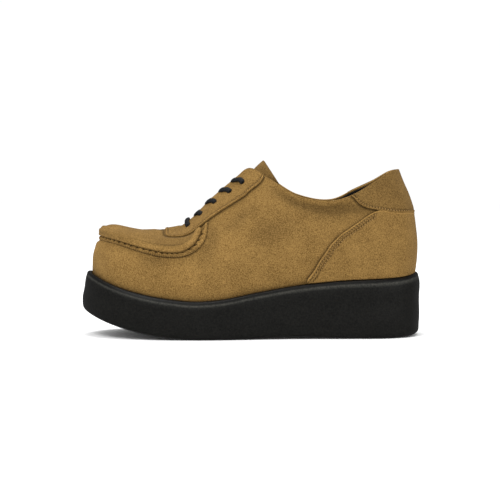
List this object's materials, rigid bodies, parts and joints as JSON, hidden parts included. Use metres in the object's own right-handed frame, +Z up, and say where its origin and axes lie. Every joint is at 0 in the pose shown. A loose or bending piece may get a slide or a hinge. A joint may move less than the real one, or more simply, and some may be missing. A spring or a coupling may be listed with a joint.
{
  "type": "platform moccasin shoe",
  "caption": "Left lace-up platform moccasin: hollow suede upper with a raised apron seam, eyestay, heel counter and collar tab on one thick sprung block sole.",
  "frame": {"origin": "on the floor, under the middle of the shoe's box", "axes": "+Z up, +X from the toe towards the heel along the shoe's length, +Y from the outer to the inner side of the foot"},
  "size_m": [0.2628, 0.1058, 0.136],
  "materials": {
    "suede": "matt napped suede",
    "sole_rubber": "satin black foamed rubber",
    "lining": "matt black lining leather",
    "lace": "matt braided black cord"
  },
  "bodies": {
    "root": {"sole": "sole_rubber", "upper": "suede", "insole": "lining", "apron": "suede", "apron_seam": "suede", "eyestay": "suede", "counter": "suede", "collar_tab": "suede", "tongue": "suede", "lace_bar": "lace", "lace_cross_1": "lace", "lace_cross_2": "lace", "lace_cross_3": "lace", "lace_cross_4": "lace"}
  },
  "joints": []
}
